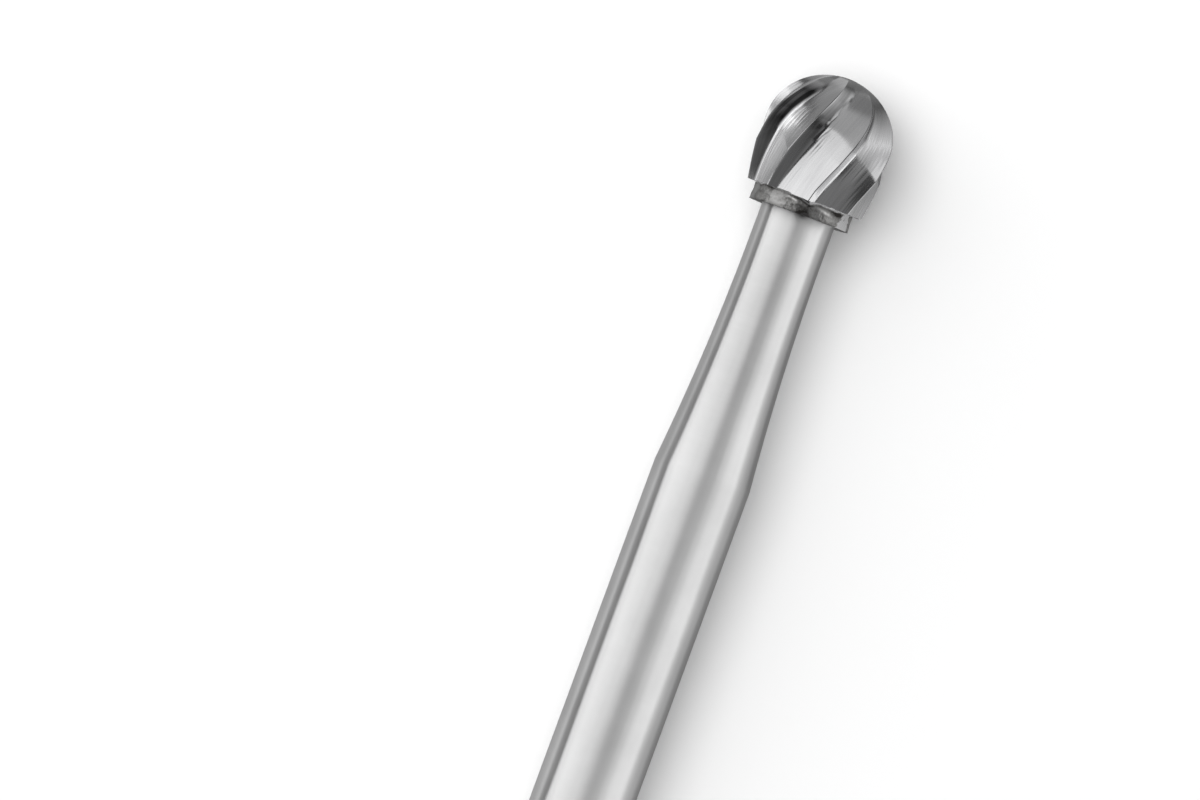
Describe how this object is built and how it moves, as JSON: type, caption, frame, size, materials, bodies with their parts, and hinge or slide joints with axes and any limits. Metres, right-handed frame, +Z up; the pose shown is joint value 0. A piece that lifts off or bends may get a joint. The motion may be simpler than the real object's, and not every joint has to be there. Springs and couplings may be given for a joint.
{
  "type": "surgical bur",
  "caption": "Round surgical bur: a ball of helical carbide blades, brazed to a slim steel shank that a straight handpiece grips.",
  "frame": {"origin": "on the floor, under the centre of the resting bur's box", "axes": "+X along the bur towards the ball, +Z up; the bur's own axis rises 0.47 degrees towards the ball, because it lies on two blades and the rear rim of the shank"},
  "size_m": [0.0446, 0.003, 0.0031],
  "materials": {
    "carbide": "ground tungsten carbide, finely striated along the flutes",
    "braze": "rough, mottled brazed joint",
    "steel": "satin stainless steel"
  },
  "bodies": {
    "root": {"cutting_head": "carbide", "braze_collar": "braze", "shank": "steel"}
  },
  "joints": []
}
